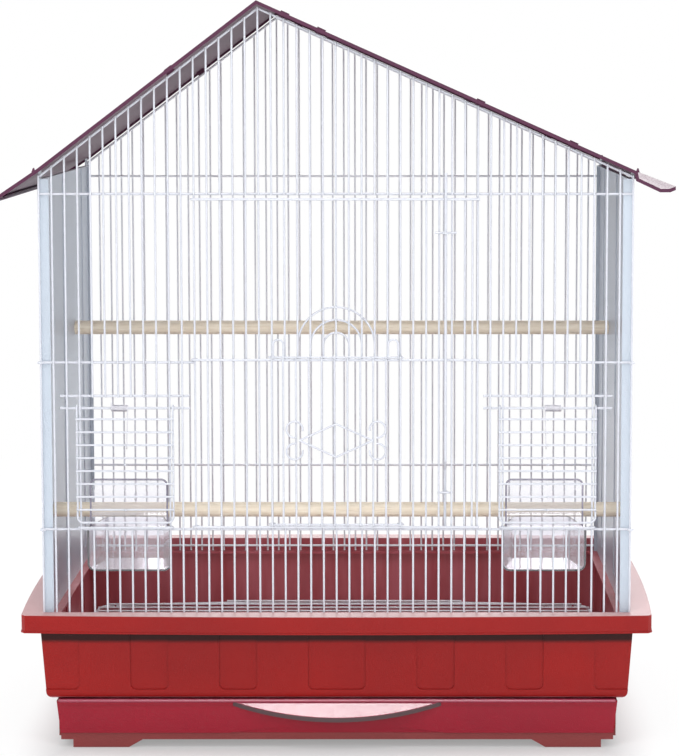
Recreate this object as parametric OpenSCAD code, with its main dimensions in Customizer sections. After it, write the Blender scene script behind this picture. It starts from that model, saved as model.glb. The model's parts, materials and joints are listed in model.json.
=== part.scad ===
// Wire bird cage with an offset gable roof, on a moulded base with a pull-out drawer.
// Millimetres. +Z is up and -Y is the front, where the doors are. The origin is on the
// surface that the cage stands on, at the centre of its outline.

/* [Wire work] */
// Spacing of the upright wires, centre to centre
wire_pitch = 12.7; // [12.4:0.1:13]
// Number of wire spaces across the front
front_spaces = 46; // [46:2:48]
// Diameter of the upright wires
wire_d = 2; // [1.8:0.1:2.2]
// Diameter of the cross bars and hinge bars
bar_d = 2.5; // [2.2:0.1:2.8]
// Depth of the cage, front wires to rear wires
cage_depth = 320; // [310:1:330]

/* [Heights of the cage] */
// Lower bar above the rim of the base
lower_bar_rise = 83.5; // [80:0.5:95]
// Middle bar above the lower bar
middle_bar_rise = 167.5; // [160:0.5:180]
// Eave bar above the middle bar
eave_bar_rise = 167; // [160:1:200]
// Ends of the gable wire above the eave bar
gable_end_rise = 17; // [14:1:25]
// Ridge of the gable wire above its ends
ridge_rise = 164.6; // [140:1:180]
// Distance of the ridge from the middle of the cage, to the left
ridge_shift = 76.2; // [40:1:90]

/* [Base] */
// Height of the feet
foot_h = 8; // [7:0.5:13]
// Height of the drawer bay, foot top to the lower edge of the tub
bay_h = 42; // [40:0.5:50]
// Height of the tub, its lower edge to the top of the rim
tub_h = 89.5; // [82:0.5:100]
// Height of the rim's skirt
rim_h = 18; // [15:0.5:20]
// Ledge of the rim at the front and rear corners, measured from the wires
rim_front = 13; // [12:0.5:17]
// Ledge of the rim at the side corners, measured from the wires
rim_side = 21.6; // [17:0.1:24]
// How far each side of the rim bows out at its middle
rim_bow = 7; // [5:0.5:9]
// Wall of the moulded base
base_wall = 2.5; // [2.2:0.1:2.8]
// How much each wall of the tub leans in towards its foot
tub_draft = 5; // [4:0.5:6]
// Width of the raised panels round the tub
panel_w = 50.8; // [46:0.1:54]
// Distance between the raised panels, centre to centre
panel_step = 88.9; // [84:0.1:89.9]
// Depth of the sunk panels round the tub
panel_sink = 1.4; // [1:0.1:1.6]

/* [Drawer] */
// Depth of the drawer's tray from floor to brim
drawer_depth = 29; // [24:1:31]
// Half the length of the pull
pull_half = 104.5; // [80:0.5:120]
// How far the pull stands out
pull_reach = 12.5; // [10:0.5:18]

/* [Doors] */
// Number of wire spaces that the service door spans
door_spaces = 22; // [22:2:24]
// Number of wire spaces that the sliding door spans
slide_spaces = 10; // [8:2:10]
// Height of the feeder opening, lower bar to hinge bar
feeder_rise = 121.8; // [118:0.1:126]
// Rise of the feeder's top bar above its hinge bar
feeder_bar_gap = 12.2; // [11:0.1:14]
// Diameter of the latch rod
latch_d = 2.8; // [2.4:0.1:3]
// Travel of the latch rod
latch_travel = 16.5; // [14:0.5:18]

/* [Feeder cups] */
// Width of the bowl
cup_w = 84; // [76:1:86]
// How much each side of the bowl narrows towards the rear
cup_taper = 11; // [6:0.5:12]
// Depth of the bowl, front to back
cup_reach = 52; // [42:1:53]
// Height of the bowl below the lower bar
cup_h = 43; // [36:1:55]
// Width of the guard above the lower bar
guard_w = 77; // [72:1:80]
// Height of the guard above the lower bar
guard_h = 50; // [42:1:52]
// Wall of the cups
cup_wall = 1.6; // [1.4:0.1:1.8]

/* [Perches] */
// Diameter of the perches
perch_d = 15; // [12:0.5:16]
// Upper perch behind the front wires
upper_perch_back = 216; // [210:1:222]
// Upper perch above the lower bar
upper_perch_rise = 175.5; // [150:0.5:190]
// Lower perch behind the front wires
lower_perch_back = 66.5; // [66:0.5:70]
// Lower perch above the lower bar
lower_perch_rise = 6; // [3:0.5:12]

/* [Roof and panels] */
// Thickness of the roof sheet
roof_t = 1; // [0.8:0.1:1.2]
// Outer face of the roof above the gable wire's centre line
roof_lift = 6.4; // [5.6:0.1:8]
// Roof beyond the front and rear wires
roof_overhang = 8; // [7:0.5:11]
// Half width of the roof, tip to tip
roof_half = 332.8; // [328:0.1:340]
// Slope of the left eave in degrees
left_flare = 34; // [28:1:37]
// Depth of the rolled-down front edge
roof_hem = 2.4; // [2:0.1:5.2]
// Thickness of the side panels
panel_t = 0.8; // [0.6:0.1:1]
// Width of the side panels' front flanges
flange_w = 10; // [8:0.5:11]
// Width of the side panels' rear and top flanges
rear_flange_w = 4.5; // [4:0.5:8]

/* [Hidden] */

// Colours
tub_red = [0.6, 0.13, 0.14];
drawer_red = [0.6, 0.12, 0.2];
enamel = [0.93, 0.94, 0.96];
panel_enamel = [0.78, 0.82, 0.87];
roof_enamel = [0.4, 0.16, 0.27];
clear_plastic = [0.86, 0.88, 0.92];
pale_wood = [0.86, 0.76, 0.6];
bare_steel = [0.75, 0.76, 0.78];

// Facets for wires, for small rounded corners and for the flat arcs of the rim
wire_fn = 24;
corner_fn = 32;
flat_arc_fn = 720;

// Gap between pieces that move past each other
play = 0.3;

// Wires and bars
wire_r = wire_d / 2;
bar_r = bar_d / 2;
weld = wire_r + bar_r;
half_w = front_spaces * wire_pitch / 2;
middle_wire = front_spaces / 2;
front_y = -cage_depth / 2;
bar_y = front_y + weld;
function wire_x(k) = (k - middle_wire) * wire_pitch;

// Heights of the base
tub_z = foot_h + bay_h;
rim_z = tub_z + tub_h;
seat_z = rim_z - 14;
sill_z = seat_z + 6;

// Heights of the cage
lower_z = rim_z + lower_bar_rise;
middle_z = lower_z + middle_bar_rise;
eave_z = middle_z + eave_bar_rise;
gable_end_z = eave_z + gable_end_rise;
ridge_z = gable_end_z + ridge_rise;
ridge_x = -ridge_shift;

// Slopes of the roof, in degrees
left_slope = atan2(ridge_rise, half_w + ridge_x);
right_slope = atan2(ridge_rise, half_w - ridge_x);
function slope_at(x) = x < ridge_x ? left_slope : right_slope;
function gable_z(x) = ridge_z - abs(x - ridge_x) * tan(slope_at(x));

// Height at x of a plane that lies n above the gable wire's centre line
function above_gable(x, n) = gable_z(x) + n / cos(slope_at(x));

// Distance across the ridge between those two planes' crossing and the gable wire's apex
function ridge_dx(n) =
    n * (1 / cos(right_slope) - 1 / cos(left_slope)) / (tan(left_slope) + tan(right_slope));
function ridge_point(n) =
    [ridge_x + ridge_dx(n), ridge_z + n / cos(left_slope) + ridge_dx(n) * tan(left_slope)];

// Path moved t to its right-hand side, with mitred corners and its ends cut upright
function unit(v) = v / norm(v);
function right_of(a, b) = [unit(b - a)[1], -unit(b - a)[0]];
function miter(n, m) = (n + m) / (1 + n * m);
function upright_end(n) = n[1] == 0 ? n : [0, 1 / n[1]];
function side_step(p, i) =
    i == 0 ? upright_end(right_of(p[0], p[1]))
    : i == len(p) - 1 ? upright_end(right_of(p[i - 1], p[i]))
    : miter(right_of(p[i - 1], p[i]), right_of(p[i], p[i + 1]));
function beside(p, t) = [for (i = [0 : len(p) - 1]) p[i] + t * side_step(p, i)];
function backwards(p) = [for (i = [len(p) - 1 : -1 : 0]) p[i]];

// ------------------------------------------------------------------ basic shapes

// Round wire standing upright
module upright(x, y, z0, z1, d = wire_d) {
    translate([x, y, z0])
        cylinder(d = d, h = z1 - z0, $fn = wire_fn);
}

// Round wire lying from left to right
module crossbar(x0, x1, y, z, d = bar_d) {
    translate([x0, y, z])
        rotate([0, 90, 0])
            cylinder(d = d, h = x1 - x0, $fn = wire_fn);
}

// Round wire lying from front to back
module depthbar(x, y0, y1, z, d = bar_d) {
    translate([x, y0, z])
        rotate([-90, 0, 0])
            cylinder(d = d, h = y1 - y0, $fn = wire_fn);
}

// Straight wire between any two points
module rod(p, q, d) {
    v = q - p;
    translate(p)
        rotate([0, acos(v[2] / norm(v)), atan2(v[1], v[0])])
            cylinder(d = d, h = norm(v), $fn = wire_fn);
}

// Part of a ring of wire round Z, from angle a on
module ring(r, d, a = 0, sweep = 360) {
    rotate([0, 0, a])
        rotate_extrude(angle = sweep, $fn = corner_fn)
            translate([r, 0])
                circle(d = d, $fn = wire_fn);
}

// Part of a ring of wire that faces the front
module facing_ring(x, y, z, r, d, a = 0, sweep = 360) {
    translate([x, y, z])
        rotate([90, 0, 0])
            ring(r, d, a, sweep);
}

// Ring of wire round a bar that lies from left to right
module bar_ring(x, y, z, r, d) {
    translate([x, y, z])
        rotate([0, 90, 0])
            ring(r, d);
}

// Rectangle with round corners
module round_rect(w, h, r) {
    square([w - 2 * r, h], center = true);
    square([w, h - 2 * r], center = true);
    for (sx = [-1, 1], sy = [-1, 1])
        translate([sx * (w / 2 - r), sy * (h / 2 - r)])
            circle(r = r, $fn = corner_fn);
}

// Rectangle that hangs down from the origin, with round lower corners
module hanging_rect(w, h, r) {
    translate([-w / 2, r - h])
        square([w, h - r]);
    translate([r - w / 2, -h])
        square([w - 2 * r, h]);
    for (s = [-1, 1])
        translate([s * (w / 2 - r), r - h])
            circle(r = r, $fn = corner_fn);
}

// Stands a flat shape upright, facing the front, from y back by t
module upright_sheet(y, t) {
    translate([0, y + t, 0])
        rotate([90, 0, 0])
            linear_extrude(t)
                children();
}

module box_between(p, q) {
    translate(p)
        cube(q - p);
}

module left_and_right() {
    children();
    mirror([1, 0, 0])
        children();
}

module front_and_rear() {
    children();
    mirror([0, 1, 0])
        children();
}

// ------------------------------------------------------------------ moulded base

tub_edge_r = 8;
tub_top_x = half_w + wire_r + play + base_wall;
tub_top_y = cage_depth / 2 + wire_r + play + base_wall;
tub_lean = atan2(tub_draft, seat_z - tub_z);
seat_w = 10;
rim_x = half_w + rim_side;
rim_y = cage_depth / 2 + rim_front;
rim_corner_r = 30;
bay_x = tub_top_x - tub_draft - tub_edge_r - 1.5;
bay_y = tub_top_y - tub_draft - tub_edge_r - 1.5;
floor_rib = 10;
rim_bead = 0.7;
post_w = 9;
arc_steps = 8;

// Half width of the tub's outside at height z
function tub_half(top, z) = top - tub_draft * (seat_z - z) / (seat_z - tub_z);

// Right half of the tub's section, inset by w, from the middle of its floor to height z1
function tub_arc(top, w) =
    let (zc = tub_z + tub_edge_r, xc = tub_half(top, zc) - tub_edge_r / cos(tub_lean), r = tub_edge_r - w)
    [for (i = [0 : arc_steps])
        let (a = -90 + i * (90 - tub_lean) / arc_steps)
        [xc + r * cos(a), zc + r * sin(a)]];
function tub_side(top, w, z1) = concat(tub_arc(top, w), [[top - w, seat_z], [top - w, z1]]);
function flip(p) = [for (q = p) [-q[0], q[1]]];
function tub_section(top, w, z1) = concat(tub_side(top, w, z1), backwards(flip(tub_side(top, w, z1))));

// The tub as a block, inset by w
module tub_block(w, z1) {
    reach = 2 * tub_top_x + 40;
    intersection() {
        translate([0, reach / 2, 0])
            rotate([90, 0, 0])
                linear_extrude(reach)
                    polygon(tub_section(tub_top_x, w, z1));
        rotate([0, 0, 90])
            translate([0, reach / 2, 0])
                rotate([90, 0, 0])
                    linear_extrude(reach)
                        polygon(tub_section(tub_top_y, w, z1));
    }
}

// One flat arc that bows out to half size h, over a chord of half length c
module bowed_side(c, h, bow) {
    r = (c * c + bow * bow) / (2 * bow);
    translate([0, h - r])
        circle(r = r, $fn = flat_arc_fn);
}

// Outline of the rim, inset by w
module rim_outline(w) {
    hx = rim_x + rim_bow - w;
    hy = rim_y + rim_bow - w;
    intersection() {
        bowed_side(rim_x, hy, rim_bow);
        rotate(180)
            bowed_side(rim_x, hy, rim_bow);
        rotate(90)
            bowed_side(rim_y, hx, rim_bow);
        rotate(-90)
            bowed_side(rim_y, hx, rim_bow);
        round_rect(2 * hx, 2 * hy, rim_corner_r - w);
    }
}

sunk_foot = 10;
sunk_r = 6;

// Cutter for one sunk panel on a wall whose face is at y = -top
module sunk_panel(top, x0, x1) {
    translate([(x0 + x1) / 2, -top, seat_z])
        rotate([tub_lean, 0, 0])
            upright_sheet(-5, 5 + panel_sink)
                hanging_rect(x1 - x0, seat_z - tub_z - sunk_foot, sunk_r);
}

// All the sunk panels along one wall of half length h
module sunk_panels(top, h) {
    first = panel_w / 2 + panel_step / 2 + 9.8;
    sunk_panel(top, panel_w - first, first - panel_w);
    for (s = [0, 1])
        mirror([s, 0, 0])
            for (i = [0 : 2])
                if (first + i * panel_step < h)
                    sunk_panel(top, first + i * panel_step, first + (i + 1) * panel_step - panel_w);
}

// Pads inside the wall, behind the sunk panels, so that the wall keeps its thickness
module inner_pad(top, x0, x1) {
    translate([(x0 + x1) / 2, -top, seat_z - 1])
        rotate([tub_lean, 0, 0])
            upright_sheet(base_wall - 0.5, 0.5 + panel_sink)
                hanging_rect(x1 - x0, seat_z - 1 - tub_z - sunk_foot, sunk_r);
}

module inner_pads(top, h) {
    first = panel_w / 2 + panel_step / 2 + 9.8;
    inner_pad(top, panel_w - first, first - panel_w);
    for (s = [0, 1])
        mirror([s, 0, 0])
            for (i = [0 : 2])
                if (first + (i + 1) * panel_step - panel_w < h)
                    inner_pad(top, first + i * panel_step, first + (i + 1) * panel_step - panel_w);
}

// Posts that carry the floor grille, at its ends and under its long sides
module grille_post(x, y) {
    box_between(
        [x - post_w / 2, y - post_w / 2, tub_z],
        [x + post_w / 2, y + post_w / 2, tub_z + grille_rise]
    );
}

module base_tub() {
    color(tub_red) {
        difference() {
            union() {
                difference() {
                    tub_block(0, rim_z);
                    for (a = [0, 180])
                        rotate([0, 0, a])
                            sunk_panels(tub_top_y, tub_top_x - tub_draft);
                    for (a = [90, -90])
                        rotate([0, 0, a])
                            sunk_panels(tub_top_x, tub_top_y - tub_draft);
                }
                translate([0, 0, rim_z - base_wall])
                    linear_extrude(base_wall)
                        rim_outline(rim_bead);
                translate([0, 0, rim_z - rim_h])
                    linear_extrude(rim_h)
                        difference() {
                            rim_outline(rim_bead);
                            rim_outline(base_wall);
                        }
                // Bead along the skirt's lower edge
                translate([0, 0, rim_z - rim_h])
                    linear_extrude(2 * rim_bead)
                        difference() {
                            rim_outline(0);
                            rim_outline(base_wall);
                        }
            }
            difference() {
                tub_block(base_wall, rim_z + 1);
                for (a = [0, 180])
                    rotate([0, 0, a])
                        inner_pads(tub_top_y, tub_top_x - tub_draft);
                for (a = [90, -90])
                    rotate([0, 0, a])
                        inner_pads(tub_top_x, tub_top_y - tub_draft);
                left_and_right() {
                    grille_post(bay_x - floor_rib + post_w / 2, 0);
                    front_and_rear()
                        grille_post(grille_end / 2, bay_y - floor_rib + post_w / 2);
                }
                translate([0, 0, seat_z - base_wall])
                    linear_extrude(base_wall)
                        difference() {
                            square([2 * tub_top_x, 2 * tub_top_y], center = true);
                            round_rect(
                                2 * (tub_top_x - base_wall - seat_w),
                                2 * (tub_top_y - base_wall - seat_w),
                                6
                            );
                        }
            }
            translate([0, 0, tub_z - 1])
                linear_extrude(base_wall + 2)
                    round_rect(2 * (bay_x - floor_rib), 2 * (bay_y - floor_rib), 6);
        }
    }
}

// Feet
drawer_taper = 3.8;
foot_out = bay_x - 16;
foot_in = foot_out - 56;
foot_top = foot_in - 14;
foot_l = 40;
plinth_floor = 7;
bay_floor_z = foot_h + plinth_floor - base_wall;
plinth_strip = 90;
plinth_lip = tub_top_y - tub_draft - 3;
wall_front = plinth_lip - 12;

module foot_prism(y) {
    upright_sheet(-y, foot_l)
        polygon([
            [foot_in, 0], [foot_out, 0], [foot_out, bay_floor_z + 1],
            [foot_top, bay_floor_z + 1], [foot_top, foot_h]
        ]);
}

module base_plinth() {
    color(tub_red) {
        // Walls of the drawer bay
        difference() {
            box_between([-bay_x, -wall_front, foot_h], [bay_x, bay_y, tub_z]);
            box_between(
                [-bay_x + base_wall, -wall_front - 1, foot_h - 1],
                [bay_x - base_wall, bay_y - base_wall, tub_z + 1]
            );
        }
        // Lip under the drawer front, with its two returns
        box_between(
            [drawer_taper - bay_x, -plinth_lip, foot_h],
            [bay_x - drawer_taper, base_wall - plinth_lip, foot_h + plinth_floor]
        );
        left_and_right()
            box_between(
                [bay_x - drawer_taper - base_wall, -plinth_lip, foot_h],
                [bay_x - drawer_taper, 1 - wall_front, foot_h + plinth_floor]
            );
        // Floor of the bay, which reaches out to the lip
        difference() {
            union() {
                box_between([-bay_x, -wall_front, bay_floor_z], [bay_x, bay_y, foot_h + plinth_floor]);
                box_between(
                    [drawer_taper - bay_x, -plinth_lip, bay_floor_z],
                    [bay_x - drawer_taper, 0, foot_h + plinth_floor]
                );
            }
            translate([0, 0, foot_h - 1])
                linear_extrude(plinth_floor + 2)
                    round_rect(2 * (bay_x - plinth_strip), 2 * (bay_y - 36), 10);
        }
        left_and_right() {
            foot_prism(plinth_lip);
            foot_prism(foot_l - bay_y);
        }
    }
}

// Grille that rests on the tub's posts
grille_d = 3;
grille_x = tub_top_x - tub_draft - tub_edge_r - 3.5;
grille_y = tub_top_y - tub_draft - tub_edge_r - 3.5;
grille_r = 18;
grille_rise = 16;
grille_z = tub_z + grille_rise + grille_d / 2;
grille_bow = 15;
grille_wires = 20;
grille_end = grille_x - grille_r;
grille_side = grille_y - grille_bow - grille_r;
grille_bow_r = (grille_end * grille_end + grille_bow * grille_bow) / (2 * grille_bow);
grille_bow_a = asin(grille_end / grille_bow_r);

// Half length of a cross wire at distance y from the middle, where the frame bows
function grille_reach(y) =
    abs(y) < grille_side ? grille_x
    : abs(y) < grille_side + grille_r
        ? grille_end + sqrt(grille_r * grille_r - pow(abs(y) - grille_side, 2))
    : sqrt(grille_bow_r * grille_bow_r - pow(grille_bow_r - grille_y + abs(y), 2));

module floor_grille() {
    step = 2 * (grille_y - 4) / grille_wires;
    color(enamel) {
        // Frame: straight ends, round corners, and long sides that bow out
        left_and_right()
            translate([grille_x, 0, 0])
                depthbar(0, -grille_side, grille_side, grille_z, grille_d);
        for (i = [0 : 3])
            mirror([i % 2, 0, 0])
                mirror([0, floor(i / 2), 0])
                    translate([grille_end, grille_side, grille_z])
                        ring(grille_r, grille_d, 0, 90 - grille_bow_a);
        for (a = [0, 180])
            rotate([0, 0, a])
                translate([0, grille_y - grille_bow_r, grille_z])
                    rotate([0, 0, 90 - grille_bow_a])
                        rotate_extrude(angle = 2 * grille_bow_a, $fn = flat_arc_fn)
                            translate([grille_bow_r, 0])
                                circle(d = grille_d, $fn = wire_fn);
        for (i = [0 : grille_wires]) {
            y = (i - grille_wires / 2) * step;
            crossbar(-grille_reach(y), grille_reach(y), y, grille_z + grille_d / 2 + wire_r, wire_d);
        }
    }
}

// ------------------------------------------------------------------ drawer

drawer_half = bay_x;
drawer_z = foot_h + plinth_floor + play;
drawer_top = tub_z - 2;
drawer_face = -(tub_top_y - tub_draft - 1);
drawer_t = 3;
drawer_wall = 2;
tray_x = bay_x - base_wall - 6;
tray_front = drawer_face + drawer_t;
skirt_l = -wall_front - play - drawer_face;
tray_back = bay_y - base_wall - 2;
tray_z = foot_h + plinth_floor + play;
pull_t = 2.4;
pull_fall = 13;
pull_lip = 5;
bead = 1.2;
bead_h = 3.5;

module drawer_tray() {
    color(drawer_red) {
        difference() {
            translate([0, (tray_front + tray_back) / 2, tray_z])
                linear_extrude(drawer_depth)
                    round_rect(2 * tray_x, tray_back - tray_front, 8);
            translate([0, (tray_front + tray_back) / 2, tray_z + drawer_wall])
                linear_extrude(drawer_depth)
                    round_rect(2 * (tray_x - drawer_wall), tray_back - tray_front - 2 * drawer_wall, 6);
        }
    }
}

// Outline of the drawer front, narrower at its foot
module drawer_outline(w) {
    polygon([
        [w - drawer_half, drawer_top - w], [drawer_half - w, drawer_top - w],
        [drawer_half - drawer_taper - w, drawer_z + w], [drawer_taper - drawer_half + w, drawer_z + w]
    ]);
}

module drawer_front() {
    color(drawer_red) {
        difference() {
            union() {
                upright_sheet(drawer_face, skirt_l)
                    drawer_outline(0);
                // Bead along the top edge, on both sides of the pull
                left_and_right()
                    box_between(
                        [pull_half, drawer_face - bead, drawer_top - bead_h],
                        [drawer_half - bead, drawer_face + bead, drawer_top]
                    );
            }
            // The hollow behind the plate is open below, where the tray runs
            upright_sheet(drawer_face + drawer_t, skirt_l)
                union() {
                    drawer_outline(drawer_wall);
                    translate([0, -drawer_wall - 1])
                        drawer_outline(drawer_wall + 1);
                }
            // Low relief along the foot, under the pull
            upright_sheet(drawer_face - 1, 2.2)
                polygon([
                    [-pull_half - 12, drawer_z - 1], [-pull_half + 34, drawer_z + 5],
                    [pull_half - 34, drawer_z + 5], [pull_half + 12, drawer_z - 1]
                ]);
        }
    }
}

// Crescent that stands out from the drawer's face
module pull_outline(w) {
    r = (pull_half * pull_half + pull_reach * pull_reach) / (2 * pull_reach);
    intersection() {
        translate([0, r - pull_reach])
            circle(r = r - w, $fn = 180);
        translate([-pull_half, -pull_reach])
            square([2 * pull_half, pull_reach]);
    }
}

// Slab that falls away from the drawer's top edge, from t0 to t1 under its upper face
module falling_slab(t0, t1) {
    far = 1.2 * pull_reach;
    drop = 1.2 * pull_fall;
    rotate([90, 0, 90])
        translate([0, 0, -pull_half])
            linear_extrude(2 * pull_half)
                polygon([[0, -t0], [-far, -drop - t0], [-far, -drop - t1], [0, -t1]]);
}

module drawer_pull() {
    color(drawer_red)
        translate([0, drawer_face, drawer_top]) {
            intersection() {
                falling_slab(0, pull_t);
                translate([0, 0, -3 * pull_fall])
                    linear_extrude(3 * pull_fall)
                        pull_outline(0);
            }
            // Lip along the outer edge, for the fingers
            intersection() {
                falling_slab(0, pull_lip);
                translate([0, 0, -3 * pull_fall])
                    linear_extrude(3 * pull_fall)
                        difference() {
                            pull_outline(0);
                            pull_outline(drawer_wall);
                        }
            }
        }
}

// ------------------------------------------------------------------ cage

// Wires that stand at the ends of the openings
door_first = middle_wire - door_spaces / 2;
door_last = middle_wire + door_spaces / 2;
feeder_first = door_first - 9;
feeder_last = door_first - 2;
function in_door(k) = k > door_first && k < door_last;
function in_feeder(k) =
    (k > feeder_first && k < feeder_last)
    || (k > front_spaces - feeder_last && k < front_spaces - feeder_first);

// The feeders' bars
hinge_z = lower_z + feeder_rise;
feeder_top_z = hinge_z + feeder_bar_gap;

module front_wires() {
    color(enamel)
        for (k = [0 : front_spaces]) {
            x = wire_x(k);
            if (in_door(k)) {
                upright(x, front_y, seat_z, lower_z + bar_r);
                upright(x, front_y, eave_z - bar_r, gable_z(x) + bar_r);
            } else if (in_feeder(k)) {
                upright(x, front_y, seat_z, lower_z + bar_r);
                upright(x, front_y, feeder_top_z - bar_r, gable_z(x) + bar_r);
            } else {
                upright(x, front_y, seat_z, gable_z(x) + bar_r);
            }
        }
}

// Loop that ends a bar, bent round the right corner wire
module corner_loop(z) {
    translate([half_w, front_y, z])
        ring(weld, bar_d, -150, 240);
}

module front_bars() {
    color(enamel) {
        crossbar(-half_w, half_w, bar_y, sill_z);
        crossbar(-half_w, half_w, bar_y, lower_z);
        crossbar(-half_w, half_w, bar_y, eave_z);
        left_and_right() {
            crossbar(wire_x(door_last), half_w, bar_y, middle_z);
            corner_loop(lower_z);
            corner_loop(middle_z);
        }
    }
}

// One side of the gable wire, cut at the ridge on the plane that halves the bend
module gable_leg(x, y, side) {
    past = ridge_x + side * -bar_d;
    intersection() {
        rod([x, y, gable_z(x)], [past, y, ridge_z + bar_d * tan(slope_at(x))], bar_d);
        translate([ridge_x, y, ridge_z])
            rotate([0, (right_slope - left_slope) / 2, 0])
                translate([side < 0 ? -2 * half_w : 0, -bar_d, -2 * ridge_rise])
                    cube([2 * half_w, 2 * bar_d, 3 * ridge_rise]);
    }
}

// Bent wire that follows the gable
module gable_wire(y) {
    gable_leg(-half_w, y, -1);
    gable_leg(half_w, y, 1);
}

module front_gable_wire() {
    color(enamel)
        gable_wire(bar_y);
}

module rear_wires() {
    color(enamel)
        for (k = [0 : front_spaces])
            upright(wire_x(k), -front_y, seat_z, gable_z(wire_x(k)) + bar_r);
}

module rear_bars() {
    color(enamel)
        for (z = [sill_z, lower_z + 3, eave_z + 2])
            crossbar(-half_w, half_w, -bar_y, z);
}

module rear_gable_wire() {
    color(enamel)
        gable_wire(-bar_y);
}

// Top bar and hinge bar of the left feeder opening
feeder_bar_x0 = wire_x(feeder_first) - 1.54 * wire_pitch;
feeder_bar_x1 = wire_x(feeder_last) + 1.54 * wire_pitch;

// The rod in front of the cup ends in a loop round the wire at each side
cup_rod_r = wire_d + play + 0.3;
cup_rod_y = front_y - cup_rod_r;
cup_rod_z = lower_z + weld + 0.05;

module feeder_bars() {
    color(enamel) {
        for (z = [hinge_z, feeder_top_z])
            crossbar(feeder_bar_x0, feeder_bar_x1, bar_y, z);
        crossbar(wire_x(feeder_first), wire_x(feeder_last), cup_rod_y, cup_rod_z, wire_d);
        translate([wire_x(feeder_last), front_y, cup_rod_z])
            ring(cup_rod_r, wire_d, -90, 240);
        translate([wire_x(feeder_first), front_y, cup_rod_z])
            mirror([1, 0, 0])
                ring(cup_rod_r, wire_d, -90, 240);
    }
}

module left_feeder_bars() {
    feeder_bars();
}

module right_feeder_bars() {
    mirror([1, 0, 0])
        feeder_bars();
}

// ------------------------------------------------------------------ side panels

panel_x = half_w + wire_r - play;
panel_y = cage_depth / 2 - weld - bar_r - 0.1;
panel_top = gable_end_z - bar_r - 1;
ear_top = min(above_gable(-panel_x, roof_lift - roof_t), above_gable(panel_x, roof_lift - roof_t)) - play;
ear_w = 14;
rib_out = 1;
rib_w = 14;
upper_perch_y = front_y + upper_perch_back;
upper_perch_z = lower_z + upper_perch_rise;
lower_perch_y = front_y + lower_perch_back;
lower_perch_z = lower_z + lower_perch_rise;
screw_d = 3;

// Plan of the right side panel; t is how far its ribs stand out
function rib_points(y, t) = [
    [panel_x, y - rib_w / 2], [panel_x + t, y - rib_w / 2 + t],
    [panel_x + t, y + rib_w / 2 - t], [panel_x, y + rib_w / 2]
];
rib_ys = [
    (lower_perch_y - panel_y) / 2,
    (lower_perch_y + upper_perch_y) / 2,
    (upper_perch_y + panel_y) / 2
];
function ribs(t) = [for (y = rib_ys, q = rib_points(y, t)) q];
function panel_path(t) = concat(
    [[panel_x - flange_w, -panel_y], [panel_x, -panel_y]],
    ribs(t),
    [[panel_x, panel_y], [panel_x - rear_flange_w, panel_y]]
);

module panel_plan(t) {
    outer = backwards(panel_path(t));
    polygon(concat(outer, backwards(beside(outer, panel_t))));
}

module side_panel() {
    color(panel_enamel)
        difference() {
            union() {
                translate([0, 0, seat_z])
                    linear_extrude(rim_z + 3 - seat_z)
                        panel_plan(0.01);
                translate([0, 0, rim_z + 3])
                    linear_extrude(panel_top - rim_z - 3)
                        panel_plan(rib_out);
                // Top flange, and an ear at each end that carries the roof
                box_between(
                    [panel_x - rear_flange_w, -panel_y, panel_top - panel_t],
                    [panel_x, panel_y, panel_top]
                );
                front_and_rear()
                    box_between(
                        [panel_x - panel_t, -panel_y, panel_top - panel_t],
                        [panel_x, ear_w - panel_y, ear_top]
                    );
            }
            for (p = [[upper_perch_y, upper_perch_z], [lower_perch_y, lower_perch_z]])
                crossbar(panel_x - 5, panel_x + 5, p[0], p[1], screw_d + 0.4);
        }
}

module right_side_panel() {
    side_panel();
}

module left_side_panel() {
    mirror([1, 0, 0])
        side_panel();
}

// ------------------------------------------------------------------ roof

roof_y = cage_depth / 2 + roof_overhang;
break_x = half_w + 3.3;
curl_r = 2.2;

// Outer face of the roof sheet, from the left eave to the right eave
roof_path = [
    [-roof_half, above_gable(-half_w, roof_lift) - (roof_half - half_w) * tan(left_flare)],
    [-half_w, above_gable(-half_w, roof_lift)],
    ridge_point(roof_lift),
    [break_x, above_gable(break_x, roof_lift)],
    [break_x + 1.6, above_gable(break_x, roof_lift) - 7],
    [roof_half - 14.5, above_gable(break_x, roof_lift) - 17],
    [roof_half - 6.1, above_gable(break_x, roof_lift) - 17],
    [roof_half, above_gable(break_x, roof_lift) - 14.5]
];

// Outer face of the roof at x, near the corners
function tab_foot(x) = x < 0 ? roof_path[1][1] + (x + half_w) * tan(left_flare) : roof_path[3][1];
tab_w = 2;
tab_h = 3.2;

module roof_band(t0, t1) {
    polygon(concat(beside(roof_path, t0), backwards(beside(roof_path, t1))));
}

// Tabs that stand on the gable wires and pass through the roof
clip_at = [10.4, 18.9, 21.7, 34, 41.2];
clip_w = 9;
clip_t = 1.2;
clip_proud = 1.3;

module at_clip(x) {
    translate([x, 0, gable_z(x)])
        rotate([0, x < ridge_x ? -left_slope : right_slope, 0])
            children();
}

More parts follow.
